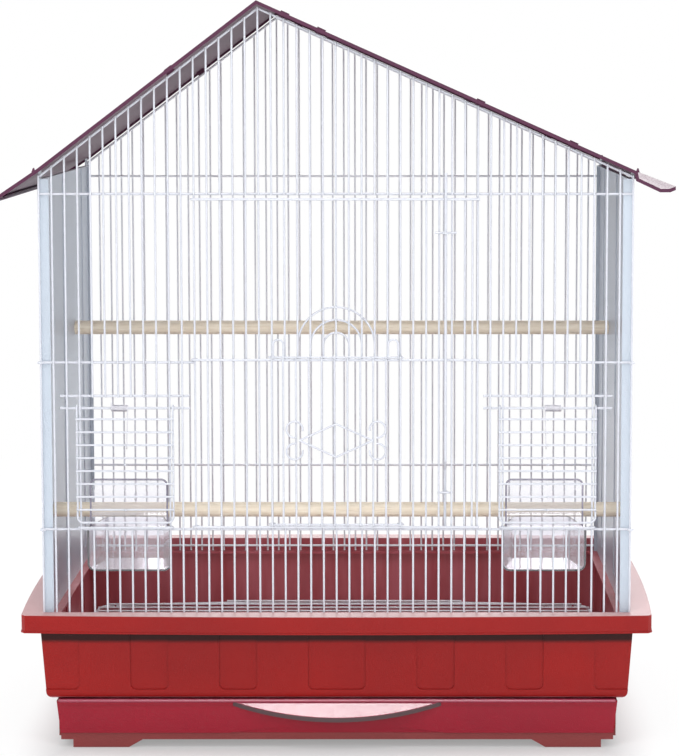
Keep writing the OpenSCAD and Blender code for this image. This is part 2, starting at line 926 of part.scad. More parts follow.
module roof() {
    color(roof_enamel)
        difference() {
            union() {
                upright_sheet(-roof_y, 2 * roof_y)
                    roof_band(0, roof_t);
                front_and_rear()
                    upright_sheet(-roof_y, roof_t)
                        roof_band(0, roof_hem + roof_t);
                // Tabs that stand up where the roof passes the corners
                front_and_rear()
                    for (x = [-break_x, break_x])
                        upright_sheet(-roof_y, roof_t)
                            translate([x, tab_foot(x)])
                                polygon([
                                    [-tab_w, -1], [tab_w, -1],
                                    [0.4 * tab_w, tab_h], [-0.2 * tab_w, tab_h]
                                ]);
                // Rolled edge along the left eave
                upright_sheet(-roof_y, 2 * roof_y)
                    translate(roof_path[0] + [curl_r, -curl_r])
                        difference() {
                            circle(r = curl_r, $fn = corner_fn);
                            circle(r = curl_r - roof_t, $fn = corner_fn);
                        }
            }
            front_and_rear()
                for (k = clip_at)
                    at_clip(wire_x(k))
                        box_between(
                            [-clip_w / 2 - play, bar_y - clip_t / 2 - play, 0],
                            [clip_w / 2 + play, bar_y + clip_t / 2 + play, roof_lift + 5]
                        );
        }
}

module roof_clips() {
    color(roof_enamel)
        front_and_rear()
            for (k = clip_at)
                at_clip(wire_x(k))
                    box_between(
                        [-clip_w / 2, bar_y - clip_t / 2, bar_r + 0.02],
                        [clip_w / 2, bar_y + clip_t / 2, roof_lift + clip_proud]
                    );
}

// ------------------------------------------------------------------ perches

perch_half = panel_x - panel_t;
screw_l = 18;
head_d = 7;
head_h = 1.8;

module perch(y, z) {
    color(pale_wood)
        difference() {
            crossbar(-perch_half, perch_half, y, z, perch_d);
            left_and_right()
                crossbar(perch_half - screw_l, perch_half + 1, y, z, screw_d + 0.1);
        }
}

module upper_perch() {
    perch(upper_perch_y, upper_perch_z);
}

module lower_perch() {
    perch(lower_perch_y, lower_perch_z);
}

module perch_screws() {
    color(bare_steel)
        left_and_right()
            for (p = [[upper_perch_y, upper_perch_z], [lower_perch_y, lower_perch_z]]) {
                crossbar(perch_half - screw_l + 1, panel_x + 0.5, p[0], p[1], screw_d);
                crossbar(panel_x, panel_x + head_h, p[0], p[1], head_d);
            }
}

// ------------------------------------------------------------------ service door

// The door's bars lie in front of its wires; their ends wrap round the hinge wire
loop_r = wire_r + play + bar_r;
door_bar_y = front_y - loop_r;
door_wire_y = door_bar_y + weld;
door_low_z = lower_z + 3;
door_mid_z = middle_z + 3;
door_top_z = eave_z - 5;
door_x0 = wire_x(door_first);
door_x1 = wire_x(door_last) + 2.3;
slide_first = middle_wire - slide_spaces / 2;
slide_last = middle_wire + slide_spaces / 2;
door_edge_x = wire_x(door_last) - 5.2;

module service_door_frame() {
    color(enamel)
        for (z = [door_low_z, door_mid_z, door_top_z]) {
            crossbar(door_x0, door_x1, door_bar_y, z);
            translate([door_x0, front_y, z])
                mirror([1, 0, 0])
                    ring(loop_r, bar_d, -90, 240);
        }
}

module service_door_wires() {
    color(enamel) {
        for (k = [door_first + 1 : door_last - 1])
            upright(
                wire_x(k), door_wire_y,
                (k > slide_first && k < slide_last ? door_mid_z : door_low_z) - bar_r,
                door_top_z + bar_r
            );
        upright(door_edge_x, door_wire_y, door_low_z - bar_r, door_top_z + bar_r);
    }
}

// Three arches behind the door's wires, above the sliding door
arch_y = door_wire_y + wire_d;
arch_z = door_mid_z + 14;

module door_arches() {
    color(enamel)
        for (i = [1 : 3]) {
            facing_ring(0, arch_y, arch_z, i * wire_pitch, wire_d, 0, 180);
            left_and_right()
                upright(i * wire_pitch, arch_y, door_mid_z + 1, arch_z);
        }
}

// ------------------------------------------------------------------ latch

latch_r = latch_d / 2;
latch_x = wire_x(door_last - 2.5);
latch_front_y = door_bar_y - bar_r - play - latch_r;
latch_rear_y = bar_y + bar_r + play + 0.1 + latch_r;
latch_low_z = lower_z + bar_r + 0.75;
latch_top_z = eave_z + 21;
latch_bend = latch_rear_y - latch_front_y;
latch_bend_z = lower_z + 60;
guide_r = latch_r + play + wire_r;
guide_y = door_wire_y - wire_d;
guide_top_z = door_top_z - 33;
guide_low_z = door_low_z + 34;

module latch_rod() {
    color(enamel) {
        upright(latch_x, latch_rear_y, latch_low_z, latch_bend_z, latch_d);
        upright(latch_x, latch_front_y, latch_bend_z + latch_bend, latch_top_z, latch_d);
        rod(
            [latch_x, latch_rear_y, latch_bend_z],
            [latch_x, latch_front_y, latch_bend_z + latch_bend],
            latch_d
        );
        for (p = [[latch_rear_y, latch_bend_z], [latch_front_y, latch_bend_z + latch_bend]])
            translate([latch_x, p[0], p[1]])
                sphere(d = latch_d, $fn = wire_fn);
    }
}

module latch_guides() {
    color(enamel) {
        crossbar(latch_x - 0.85 * wire_pitch, latch_x + 0.85 * wire_pitch, guide_y, guide_top_z, wire_d);
        translate([latch_x, latch_front_y, guide_top_z])
            ring(guide_r, wire_d);
        crossbar(latch_x - 0.6 * wire_pitch, latch_x + 0.6 * wire_pitch, arch_y, guide_low_z, wire_d);
        translate([latch_x, latch_rear_y, guide_low_z])
            ring(guide_r, wire_d);
    }
}

// ------------------------------------------------------------------ sliding door

slide_wire_y = door_bar_y - bar_r - play - wire_r;
slide_bar_y = slide_wire_y + wire_d;
slide_loop_r = door_wire_y - slide_bar_y;
slide_low_z = door_low_z + bar_r + wire_r + 0.45;
slide_top_z = door_mid_z + bar_r + wire_r + 0.45;
slide_x = slide_spaces * wire_pitch / 2;
lug_r = 5;
lug_top = 19;

module sliding_door_frame() {
    color(enamel) {
        for (z = [slide_low_z, slide_top_z]) {
            crossbar(-slide_x, slide_x, slide_bar_y, z, wire_d);
            left_and_right()
                translate([slide_x, door_wire_y, z])
                    ring(slide_loop_r, wire_d, -90, 240);
        }
    }
}

module sliding_door_wires() {
    color(enamel) {
        left_and_right()
            upright(slide_x, slide_wire_y, slide_low_z - wire_r, slide_top_z + wire_r);
        for (k = [slide_first + 1 : slide_last - 1])
            upright(wire_x(k) - 1.5, slide_wire_y, slide_low_z - wire_r, slide_top_z + wire_r);
        // Lugs to lift the door by
        for (x = [-slide_x + 6.5, slide_x - 7.1]) {
            facing_ring(x, slide_wire_y, slide_top_z + lug_top - lug_r - wire_r, lug_r, wire_d, 0, 180);
            for (s = [-1, 1])
                upright(
                    x + s * lug_r, slide_wire_y,
                    slide_top_z - wire_r, slide_top_z + lug_top - lug_r - wire_r
                );
        }
    }
}

// Diamond and four scrolls on the front of the sliding door
ornament_y = slide_wire_y - wire_d;
ornament_z = (slide_low_z + slide_top_z) / 2 + 1.5;
diamond_x = 36.5;
diamond_z = 16.5;
scroll_x = 41;
scroll_z = 11;
scroll_r = 8;

module sliding_door_ornament() {
    tips = [[-diamond_x, 0], [0, diamond_z], [diamond_x, 0], [0, -diamond_z]];
    color(enamel)
        translate([0, ornament_y, ornament_z]) {
            for (i = [0 : 3])
                rod([tips[i][0], 0, tips[i][1]], [tips[(i + 1) % 4][0], 0, tips[(i + 1) % 4][1]], wire_d);
            for (sx = [0, 1], sz = [0, 1])
                mirror([sx, 0, 0])
                    mirror([0, 0, sz])
                        facing_ring(scroll_x, 0, scroll_z, scroll_r, wire_d, -100, 290);
        }
}

// ------------------------------------------------------------------ feeder doors

hook_r = bar_r + play + wire_r;
feeder_side_y = bar_y - hook_r;
feeder_wire_y = feeder_side_y - wire_d;
feeder_side_gap = 3.2;
feeder_x0 = wire_x(feeder_first) - feeder_side_gap;
feeder_x1 = wire_x(feeder_last) + feeder_side_gap;
feeder_low_z = lower_z + 7.5;
feeder_wires = 8;
feeder_top_gap = 10.4;
feeder_step = (hinge_z - feeder_top_gap - feeder_low_z) / feeder_wires;
feeder_corner_r = 6;

module feeder_door() {
    color(enamel) {
        for (x = [feeder_x0, feeder_x1]) {
            upright(x, feeder_side_y, feeder_low_z + feeder_corner_r, hinge_z);
            upright(
                x, feeder_wire_y,
                feeder_low_z + feeder_corner_r, feeder_low_z + 2 * feeder_corner_r - 1,
                wire_d
            );
            bar_ring(x, bar_y, hinge_z, hook_r, wire_d);
        }
        for (i = [0 : feeder_wires - 1])
            crossbar(
                feeder_x0 - wire_r, feeder_x1 + wire_r,
                feeder_wire_y, hinge_z - feeder_top_gap - i * feeder_step, wire_d
            );
        // Lower edge, bent up at both ends to lie on the side rods
        crossbar(
            feeder_x0 + feeder_corner_r, feeder_x1 - feeder_corner_r,
            feeder_wire_y, feeder_low_z, wire_d
        );
        facing_ring(
            feeder_x0 + feeder_corner_r, feeder_wire_y, feeder_low_z + feeder_corner_r,
            feeder_corner_r, wire_d, 180, 90
        );
        facing_ring(
            feeder_x1 - feeder_corner_r, feeder_wire_y, feeder_low_z + feeder_corner_r,
            feeder_corner_r, wire_d, 270, 90
        );
    }
}

// Spring on the hinge bar; its arm lies against the back of the door's wires
spring_d = 1.4;
spring_y = feeder_wire_y + wire_r + spring_d / 2;
spring_r = bar_y - spring_y;
spring_turns = 12;
spring_pitch = 0.93 * spring_d;
spring_x = wire_x(feeder_first) + 2.48 * wire_pitch;
spring_arm_x = spring_x + spring_turns * spring_pitch + spring_d + 0.14;
spring_arm = 41;
spring_lean = 3;

module door_spring() {
    color(bare_steel) {
        translate([spring_x, bar_y, hinge_z])
            rotate([0, 90, 0])
                rotate_extrude($fn = corner_fn)
                    for (i = [0 : spring_turns])
                        translate([spring_r, i * spring_pitch])
                            circle(d = spring_d, $fn = wire_fn);
        rod(
            [spring_arm_x, spring_y, hinge_z + 1],
            [spring_arm_x - spring_lean, spring_y, hinge_z - spring_arm],
            spring_d
        );
    }
}

module left_feeder_door() {
    feeder_door();
}

module right_feeder_door() {
    mirror([1, 0, 0])
        feeder_door();
}

module left_door_spring() {
    door_spring();
}

module right_door_spring() {
    mirror([1, 0, 0])
        door_spring();
}

// ------------------------------------------------------------------ feeder cups

cup_x = (wire_x(feeder_first) + wire_x(feeder_last)) / 2 + 2.6;
lip_w = guard_w - 4;
guard_r = 6;
tab_rib_x = 33;
tab_rib_z = [9.6, 27.7];
cup_front = bar_y + bar_r + play;
cup_edge_r = 8;
lip_t = 1.6;
brim_t = 2;
lip_z = lower_z + bar_r;

// Plan of the bowl, narrower and rounded at the rear, inset by w at its sides and rear
module bowl_plan(w) {
    half = cup_w / 2 - w;
    rear = cup_front + cup_reach - w;
    r = cup_edge_r - w;
    polygon([
        [-half, cup_front], [half, cup_front],
        [half - cup_taper, rear - r], [cup_taper - half, rear - r]
    ]);
    translate([cup_taper + r - half, rear - 2 * r])
        square([2 * (half - cup_taper - r), 2 * r]);
    left_and_right()
        translate([half - cup_taper - r, rear - r])
            circle(r = r, $fn = corner_fn);
}

// Bowl as a block, inset by w, its top level with the origin plus over
module bowl_block(w, over) {
    intersection() {
        upright_sheet(cup_front + w, cup_reach)
            translate([0, over])
                hanging_rect(cup_w - 2 * w, cup_h + bar_r + over - w, cup_edge_r - w);
        translate([0, 0, -cup_h - bar_r - 1])
            linear_extrude(cup_h + bar_r + 3)
                bowl_plan(w);
    }
}

module feeder_cup() {
    color(clear_plastic)
        translate([cup_x, 0, lip_z]) {
            difference() {
                bowl_block(0, 0);
                bowl_block(cup_wall, 1);
            }
            // Guard that stands up behind the feeder door
            upright_sheet(cup_front, cup_wall)
                translate([0, -1])
                    rotate(180)
                        hanging_rect(guard_w, guard_h - bar_r + 1, guard_r);
            // Lip that hangs over the lower bar
            box_between([-lip_w / 2, bar_y - bar_r, 0.05], [lip_w / 2, cup_front + 0.5, lip_t]);
            // Short rib on the guard, to hold it by
            box_between(
                [tab_rib_x - 1.2, cup_front - 1.3, tab_rib_z[0]],
                [tab_rib_x + 1.2, cup_front + 0.5, tab_rib_z[1]]
            );
            // Brim across the front, and the ledge that stiffens the guard
            box_between([-guard_w / 2, cup_front, -brim_t], [guard_w / 2, cup_front + brim_t, brim_t]);
            box_between(
                [-guard_w / 2, cup_front, guard_h / 4],
                [guard_w / 2, cup_front + 2 * brim_t, guard_h / 4 + cup_wall]
            );
        }
}

module left_feeder_cup() {
    feeder_cup();
}

module right_feeder_cup() {
    mirror([1, 0, 0])
        feeder_cup();
}

// ------------------------------------------------------------------ pieces

base_tub();
base_plinth();
floor_grille();
drawer_tray();
drawer_front();
drawer_pull();
front_wires();
front_bars();
front_gable_wire();
rear_wires();
rear_bars();
rear_gable_wire();
left_feeder_bars();
right_feeder_bars();
left_side_panel();
right_side_panel();
roof();
roof_clips();
upper_perch();
lower_perch();
perch_screws();
service_door_frame();
service_door_wires();
door_arches();
latch_guides();
latch_rod();
sliding_door_frame();
sliding_door_wires();
sliding_door_ornament();
left_feeder_door();
left_door_spring();
right_feeder_door();
right_door_spring();
left_feeder_cup();
right_feeder_cup();
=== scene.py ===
"""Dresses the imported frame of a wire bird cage: camera and studio, finishes, and the small pieces that the
solids leave out, which are weld beads, spring coils, guard edges, the drawer's bead and screw heads."""

import json
import math

import bpy
import numpy as np
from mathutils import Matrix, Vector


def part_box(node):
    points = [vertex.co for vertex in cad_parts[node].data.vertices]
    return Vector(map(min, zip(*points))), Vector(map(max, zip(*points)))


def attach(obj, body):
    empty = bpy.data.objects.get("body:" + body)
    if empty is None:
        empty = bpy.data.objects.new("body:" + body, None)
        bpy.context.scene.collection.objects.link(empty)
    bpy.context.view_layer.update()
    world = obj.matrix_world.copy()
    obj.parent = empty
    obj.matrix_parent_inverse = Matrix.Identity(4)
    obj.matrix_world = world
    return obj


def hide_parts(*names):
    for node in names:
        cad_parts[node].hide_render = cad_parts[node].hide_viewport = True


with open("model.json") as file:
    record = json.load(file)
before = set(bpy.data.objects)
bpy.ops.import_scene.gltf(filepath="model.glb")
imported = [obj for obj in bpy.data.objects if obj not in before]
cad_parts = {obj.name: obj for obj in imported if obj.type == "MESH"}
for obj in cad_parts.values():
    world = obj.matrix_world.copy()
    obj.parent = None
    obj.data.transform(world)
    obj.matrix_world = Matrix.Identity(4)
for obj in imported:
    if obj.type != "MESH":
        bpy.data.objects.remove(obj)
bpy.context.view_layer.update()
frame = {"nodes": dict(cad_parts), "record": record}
nodes = frame["nodes"]
base_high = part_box("base_plinth")[1]

scene = bpy.context.scene
scene.view_settings.view_transform = "Standard"


# ------------------------------------------------------------------ camera, lights and studio

# Place in metres, how far the camera looks down, and its focal length in heights of its sensor
CAMERA_AT = (0.0562, -2.1143, 0.6716)
CAMERA_PITCH = math.radians(4.5)
CAMERA_SHIFT = (-0.0708, -0.19)
FOCAL_RATIO = 2.6357
SENSOR = 36.0
SEEN_TO = 60.0

camera_data = bpy.data.cameras.new("camera")
camera_data.sensor_fit = "VERTICAL"
camera_data.sensor_height = SENSOR
camera_data.lens = FOCAL_RATIO * SENSOR
camera_data.shift_x, camera_data.shift_y = CAMERA_SHIFT
camera_data.clip_end = SEEN_TO
camera = bpy.data.objects.new("camera", camera_data)
camera.location = CAMERA_AT
camera.rotation_euler = (math.pi / 2 - CAMERA_PITCH, 0, 0)
scene.collection.objects.link(camera)
scene.camera = camera


def soft_lamp(name, place, aim, size, watts, height=None):
    """Adds a white area lamp at place that faces aim; it is square unless it is given a height."""
    data = bpy.data.lights.new(name, "AREA")
    data.shape = "RECTANGLE"
    data.size = size
    data.size_y = height or size
    data.energy = watts
    lamp = bpy.data.objects.new(name, data)
    lamp.location = place
    direction = np.array(aim, float) - np.array(place, float)
    flat = math.hypot(direction[0], direction[1])
    lamp.rotation_euler = (math.atan2(flat, -direction[2]), 0, math.atan2(-direction[0], direction[1]))
    scene.collection.objects.link(lamp)


# Places in metres, sizes in metres and powers in watts. The pull lamp is seen mirrored in the drawer's pull.
CENTRE = (0, 0, 0.38)
PULL = (0, -0.175, 0.045)
soft_lamp("key_lamp", (-1.3, -2.1, 2.3), CENTRE, 1.6, 17)
soft_lamp("fill_lamp", (1.9, -1.9, 1.2), CENTRE, 1.6, 10)
soft_lamp("front_lamp", (0.05, -3.4, 1.0), CENTRE, 1.4, 35)
soft_lamp("left_lamp", (-2.3, 0.1, 1.0), CENTRE, 1.4, 16)
soft_lamp("right_lamp", (2.3, 0.1, 1.0), CENTRE, 1.4, 16)
soft_lamp("top_lamp", (0.1, 0.3, 2.4), CENTRE, 1.6, 24)
soft_lamp("back_lamp", (0.3, 2.3, 1.5), CENTRE, 1.8, 30)
soft_lamp("pull_lamp", (-0.05, -0.84, 1.86), PULL, 0.6, 6, height=0.26)


# ------------------------------------------------------------------ node helpers

COLOUR = "NodeSocketColor"
NUMBER = "NodeSocketFloat"


def new_group(name, inputs, outputs):
    """A shader node group with named inputs (kind, starting value) and named outputs (kind)."""
    group = bpy.data.node_groups.new(name, "ShaderNodeTree")
    for key, (kind, value) in inputs.items():
        group.interface.new_socket(name=key, in_out="INPUT", socket_type=kind).default_value = value
    for key, kind in outputs.items():
        group.interface.new_socket(name=key, in_out="OUTPUT", socket_type=kind)
    return group, group.nodes.new("NodeGroupInput"), group.nodes.new("NodeGroupOutput")


def maths(tree, operation, a, b=None, clamp=False):
    """One Math node; a and b are sockets or numbers."""
    node = tree.nodes.new("ShaderNodeMath")
    node.operation = operation
    node.use_clamp = clamp
    for slot, value in zip(node.inputs, (a, b)):
        if value is None:
            continue
        if isinstance(value, (int, float)):
            slot.default_value = value
        else:
            tree.links.new(value, slot)
    return node.outputs[0]


# Where a Mix node keeps the sockets that it uses for colours
MIX_FACTOR, MIX_A, MIX_B, MIX_RESULT = 0, 6, 7, 2


def mixed(tree, factor, a, b):
    """One colour Mix node, from a at factor 0 to b at factor 1; factor is a socket, a and b are sockets
    or colours."""
    node = tree.nodes.new("ShaderNodeMix")
    node.data_type = "RGBA"
    tree.links.new(factor, node.inputs[MIX_FACTOR])
    for index, value in ((MIX_A, a), (MIX_B, b)):
        if isinstance(value, tuple):
            node.inputs[index].default_value = (*value, 1)
        else:
            tree.links.new(value, node.inputs[index])
    return node.outputs[MIX_RESULT]


def place_vector(tree, scale=(1, 1, 1)):
    """Object coordinates in metres, times scale."""
    where = tree.nodes.new("ShaderNodeTexCoord")
    mapping = tree.nodes.new("ShaderNodeMapping")
    mapping.inputs["Scale"].default_value = scale
    tree.links.new(where.outputs["Object"], mapping.inputs["Vector"])
    return mapping.outputs["Vector"]


def place_parts(tree):
    """Object coordinates in metres, as the three sockets X, Y and Z."""
    parts = tree.nodes.new("ShaderNodeSeparateXYZ")
    tree.links.new(place_vector(tree), parts.inputs[0])
    return parts.outputs


def noise(tree, vector, scale, detail=3.0, rough=0.5):
    """Value of a noise texture at vector, about 0 to 1."""
    node = tree.nodes.new("ShaderNodeTexNoise")
    if isinstance(scale, (int, float)):
        node.inputs["Scale"].default_value = scale
    else:
        tree.links.new(scale, node.inputs["Scale"])
    node.inputs["Detail"].default_value = detail
    node.inputs["Roughness"].default_value = rough
    tree.links.new(vector, node.inputs["Vector"])
    return node.outputs["Fac"]


def spread(tree, value, low, high, out_low=0.0, out_high=1.0):
    """value taken from the range low..high to out_low..out_high, and held inside it."""
    node = tree.nodes.new("ShaderNodeMapRange")
    for name, number in (("From Min", low), ("From Max", high), ("To Min", out_low), ("To Max", out_high)):
        node.inputs[name].default_value = number
    tree.links.new(value, node.inputs["Value"])
    return node.outputs["Result"]


def bump(tree, height, distance, strength=1.0):
    """Normal from a height that varies over the surface."""
    node = tree.nodes.new("ShaderNodeBump")
    node.inputs["Distance"].default_value = distance
    node.inputs["Strength"].default_value = strength
    tree.links.new(height, node.inputs["Height"])
    return node.outputs["Normal"]


# ------------------------------------------------------------------ background

STUDIO_GREY = (0.47, 0.48, 0.5)
WHITE = (1.0, 1.0, 1.0)


def seen_directly(tree, gloss):
    """1 for camera and transmission rays, and gloss for glossy ones, which show the background too."""
    path = tree.nodes.new("ShaderNodeLightPath")
    shine = maths(tree, "MULTIPLY", path.outputs["Is Glossy Ray"], gloss)
    straight = maths(tree, "MAXIMUM", path.outputs["Is Camera Ray"], path.outputs["Is Transmission Ray"])
    return maths(tree, "MAXIMUM", straight, shine)


def make_world():
    """White where it is seen and pale grey where it lights the cage. Glossy rays find it white behind the
    cage and a tenth as white in front of it."""
    world = bpy.data.worlds.new("studio")
    world.use_nodes = True
    tree = world.node_tree
    direction = tree.nodes.new("ShaderNodeTexCoord")
    parts = tree.nodes.new("ShaderNodeSeparateXYZ")
    tree.links.new(direction.outputs["Generated"], parts.inputs[0])
    behind = spread(tree, parts.outputs["Y"], -0.35, 0.25, 0.1, 1.0)
    colour = mixed(tree, seen_directly(tree, behind), STUDIO_GREY, WHITE)
    tree.links.new(colour, tree.nodes["Background"].inputs["Color"])
    scene.world = world


make_world()


# ------------------------------------------------------------------ effects that finishes share

# Scale of the finest grain, its share in a bump's height, and the roughness of every clear coat
FINE_GRAIN = 900.0
GRAIN_SHARE = 0.35
COAT_ROUGHNESS = 0.12


def make_mottle():
    """Broad cloudy change from a colour to a second one: clouds of a noise, times an amount."""
    group, given, made = new_group(
        "mottle",
        {"Colour": (COLOUR, (0.5, 0.5, 0.5, 1)), "Other": (COLOUR, (0.4, 0.4, 0.4, 1)),
         "Scale": (NUMBER, 12.0), "Amount": (NUMBER, 0.5)},
        {"Colour": COLOUR})
    cloud = spread(group, noise(group, place_vector(group), given.outputs["Scale"], 4.0, 0.55), 0.35, 0.68)
    mask = maths(group, "MULTIPLY", cloud, given.outputs["Amount"])
    tint = mixed(group, mask, given.outputs["Colour"], given.outputs["Other"])
    group.links.new(tint, made.inputs["Colour"])
    return group


def make_skin():
    """Fine unevenness of a moulded or coated skin: roughness that wanders by up to Wander either way, and
    a height for a bump, broad ripples with about a third as much fine grain."""
    group, given, made = new_group(
        "skin",
        {"Roughness": (NUMBER, 0.3), "Wander": (NUMBER, 0.1),
         "Grain": (NUMBER, FINE_GRAIN), "Ripple": (NUMBER, 25.0)},
        {"Roughness": NUMBER, "Height": NUMBER})
    where = place_vector(group)
    fine = noise(group, where, given.outputs["Grain"], 2.0)
    broad = noise(group, where, given.outputs["Ripple"], 2.0)
    change = maths(group, "MULTIPLY", maths(group, "SUBTRACT", broad, 0.5), given.outputs["Wander"])
    both_ways = maths(group, "MULTIPLY", change, 2.0)
    rough = maths(group, "ADD", given.outputs["Roughness"], both_ways, clamp=True)
    height = maths(group, "ADD", maths(group, "MULTIPLY", fine, GRAIN_SHARE), broad)
    group.links.new(rough, made.inputs["Roughness"])
    group.links.new(height, made.inputs["Height"])
    return group


MOTTLE = make_mottle()
SKIN = make_skin()


def place_group(tree, group, **values):
    """Puts a node group into a material with its own values."""
    node = tree.nodes.new("ShaderNodeGroup")
    node.node_tree = group
    for key, value in values.items():
        node.inputs[key].default_value = (*value, 1) if isinstance(value, tuple) else value
    return node


def new_material(name):
    """A material and its Principled BSDF."""
    material = bpy.data.materials.new(name)
    material.use_nodes = True
    return material, material.node_tree, material.node_tree.nodes["Principled BSDF"]


def feeding(shader, name):
    """The socket that feeds an input of a shader."""
    return shader.inputs[name].links[0].from_socket


def coated(name, colour, other, amount, scale, *, roughness, wander, ripple, depth,
           coat=0.0, metallic=0.0, specular=0.5):
    """Enamel, moulded plastic or bare metal: clouds of a second colour by amount and scale, roughness that
    wanders, and a skin that ripples to a depth in metres."""
    material, tree, shader = new_material(name)
    tint = place_group(tree, MOTTLE, Colour=colour, Other=other, Scale=scale, Amount=amount)
    skin = place_group(tree, SKIN, Roughness=roughness, Wander=wander, Ripple=ripple)
    tree.links.new(tint.outputs["Colour"], shader.inputs["Base Color"])
    tree.links.new(skin.outputs["Roughness"], shader.inputs["Roughness"])
    tree.links.new(bump(tree, skin.outputs["Height"], depth), shader.inputs["Normal"])
    shader.inputs["Metallic"].default_value = metallic
    shader.inputs["Coat Weight"].default_value = coat
    shader.inputs["Coat Roughness"].default_value = COAT_ROUGHNESS
    shader.inputs["Specular IOR Level"].default_value = specular
    return material


# ------------------------------------------------------------------ finishes

# Levels of the tub: its rim, its underside, the lower edge of its skirt, the level below which its walls
# lean inwards, and the drawer's underside, below which only the feet reach
RIM_Z = float(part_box("base_tub")[1][2])
TUB_Z = float(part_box("base_tub")[0][2])
SKIRT_Z = RIM_Z - 0.018
SEAT_Z = RIM_Z - 0.014
FOOT_Z = float(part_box("drawer_tray")[0][2])
# The walls come in by 5 mm over 75.5 mm of height. What lies within these half sizes in X and Y at
# SEAT_Z, 2 mm in from the walls' outer faces, counts as inside.
WALL_LEAN = 5.0 / 75.5
INSIDE_HALF = (0.2939, 0.1618)


def make_tub_marks():
    """Masks by place, each a product of ranges that fade over their edges: Inside is within the leaning
    walls and above the underside, Ledge the rim's top, Corner the walls' outside from the skirt's lower
    edge to about 12 mm below it, and Foot what stands below the drawer."""
    group, _, made = new_group(
        "tub_marks", {}, {"Inside": NUMBER, "Ledge": NUMBER, "Corner": NUMBER, "Foot": NUMBER})
    place = place_parts(group)
    x = maths(group, "ABSOLUTE", place["X"])
    y = maths(group, "ABSOLUTE", place["Y"])
    z = place["Z"]
    drop = maths(group, "MAXIMUM", maths(group, "SUBTRACT", SEAT_Z, z), 0.0)
    lean = maths(group, "MULTIPLY", drop, WALL_LEAN)
    room_x = maths(group, "SUBTRACT", INSIDE_HALF[0], maths(group, "ADD", x, lean))
    room_y = maths(group, "SUBTRACT", INSIDE_HALF[1], maths(group, "ADD", y, lean))
    room = maths(group, "MINIMUM", room_x, room_y)
    inside = maths(group, "MULTIPLY", spread(group, room, -0.0002, 0.0002),
                   spread(group, z, TUB_Z + 0.0004, TUB_Z + 0.0012))
    group.links.new(inside, made.inputs["Inside"])
    group.links.new(spread(group, z, RIM_Z - 0.0006, RIM_Z - 0.0002), made.inputs["Ledge"])
    group.links.new(spread(group, z, FOOT_Z - 0.0005, FOOT_Z + 0.0005, 1.0, 0.0), made.inputs["Foot"])
    below = maths(group, "MULTIPLY", spread(group, z, SKIRT_Z - 0.0135, SKIRT_Z - 0.0095),
                  spread(group, z, SKIRT_Z, SKIRT_Z + 0.0008, 1.0, 0.0))
    outside = maths(group, "SUBTRACT", 1.0, inside)
    wall = maths(group, "MULTIPLY", spread(group, room, -0.0045, -0.0035), outside)
    group.links.new(maths(group, "MULTIPLY", below, wall), made.inputs["Corner"])
    return group


# Painted light: a paler red painted over the tub's inside, standing in for the light reflected inside it
PAINTED_INSIDE_LIGHT = (0.5, 0.14, 0.165)
# Painted reflection: a pale tone painted on the rim's top ledge, standing in for its reflection of the pale
# surroundings
PAINTED_LEDGE_REFLECTION = (0.86, 0.77, 0.78)
# Painted shade: a near-black painted on the walls just under the skirt, where the skirt's shadow falls
PAINTED_SKIRT_SHADE = (0.012, 0.002, 0.002)
SCUFF = (0.2, 0.07, 0.07)


def make_tub_plastic():
    """Red moulded plastic with scuffed feet, and painted light and shade: a lighter tone painted inside that
    stands in for light reflected there, a painted reflection on its ledge and painted shade under its skirt.
    Each mark's mask mixes its colour over the one before."""
    material = coated(
        "tub_plastic_red", (0.29, 0.009, 0.0075), (0.22, 0.009, 0.009), 0.6, 9.0,
        roughness=0.34, wander=0.08, ripple=14.0, depth=0.0006, specular=0.2)
    tree = material.node_tree
    shader = tree.nodes["Principled BSDF"]
    marks = place_group(tree, make_tub_marks())
    cloud = spread(tree, noise(tree, place_vector(tree, (26, 26, 3)), 1.0, 4.0, 0.6), 0.3, 0.7, 0.35, 1.0)
    colour = feeding(shader, "Base Color")
    # Inside is painted light, Ledge a painted reflection and Corner painted shade; Foot is the feet's scuffs
    for name, strength, tone in (("Inside", cloud, PAINTED_INSIDE_LIGHT), ("Ledge", 0.34, PAINTED_LEDGE_REFLECTION),
                                 ("Corner", 0.93, PAINTED_SKIRT_SHADE), ("Foot", 0.6, SCUFF)):
        colour = mixed(tree, maths(tree, "MULTIPLY", marks.outputs[name], strength), colour, tone)
    tree.links.new(colour, shader.inputs["Base Color"])
    return material


tub_plastic = make_tub_plastic()
drawer_plastic = coated(
    "drawer_plastic_red", (0.29, 0.006, 0.02), (0.22, 0.008, 0.02), 0.6, 8.0,
    roughness=0.24, wander=0.08, ripple=12.0, depth=0.0006, specular=0.28)

# How much the pull's top falls for each metre that it stands out
PULL_SLOPE = 1.04


def make_drawer_gloss():
    """The drawer's red plastic rubbed bright where fingers pass over the pull, with painted shade, nearly
    black, on all that lies below the pull's sloping top, where the plastic is also duller."""
    material = coated(
        "drawer_plastic_polished", (0.3, 0.02, 0.055), (0.25, 0.02, 0.05), 0.5, 12.0,
        roughness=0.12, wander=0.05, ripple=10.0, depth=0.0003, specular=1.0)
    tree = material.node_tree
    shader = tree.nodes["Principled BSDF"]
    place = place_parts(tree)
    pull_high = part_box("drawer_pull")[1]
    out = maths(tree, "SUBTRACT", float(pull_high[1]), place["Y"])
    top = maths(tree, "SUBTRACT", float(pull_high[2]), maths(tree, "MULTIPLY", out, PULL_SLOPE))
    under = spread(tree, maths(tree, "SUBTRACT", top, place["Z"]), 0.0004, 0.0009)
    # Painted shade: below the pull's sloping top the colour is mixed to nearly black
    colour = mixed(tree, under, feeding(shader, "Base Color"), (0.04, 0.004, 0.008))
    duller = maths(tree, "MULTIPLY", under, 0.5)
    rough = maths(tree, "ADD", feeding(shader, "Roughness"), duller, clamp=True)
    tree.links.new(colour, shader.inputs["Base Color"])
    tree.links.new(rough, shader.inputs["Roughness"])
    return material


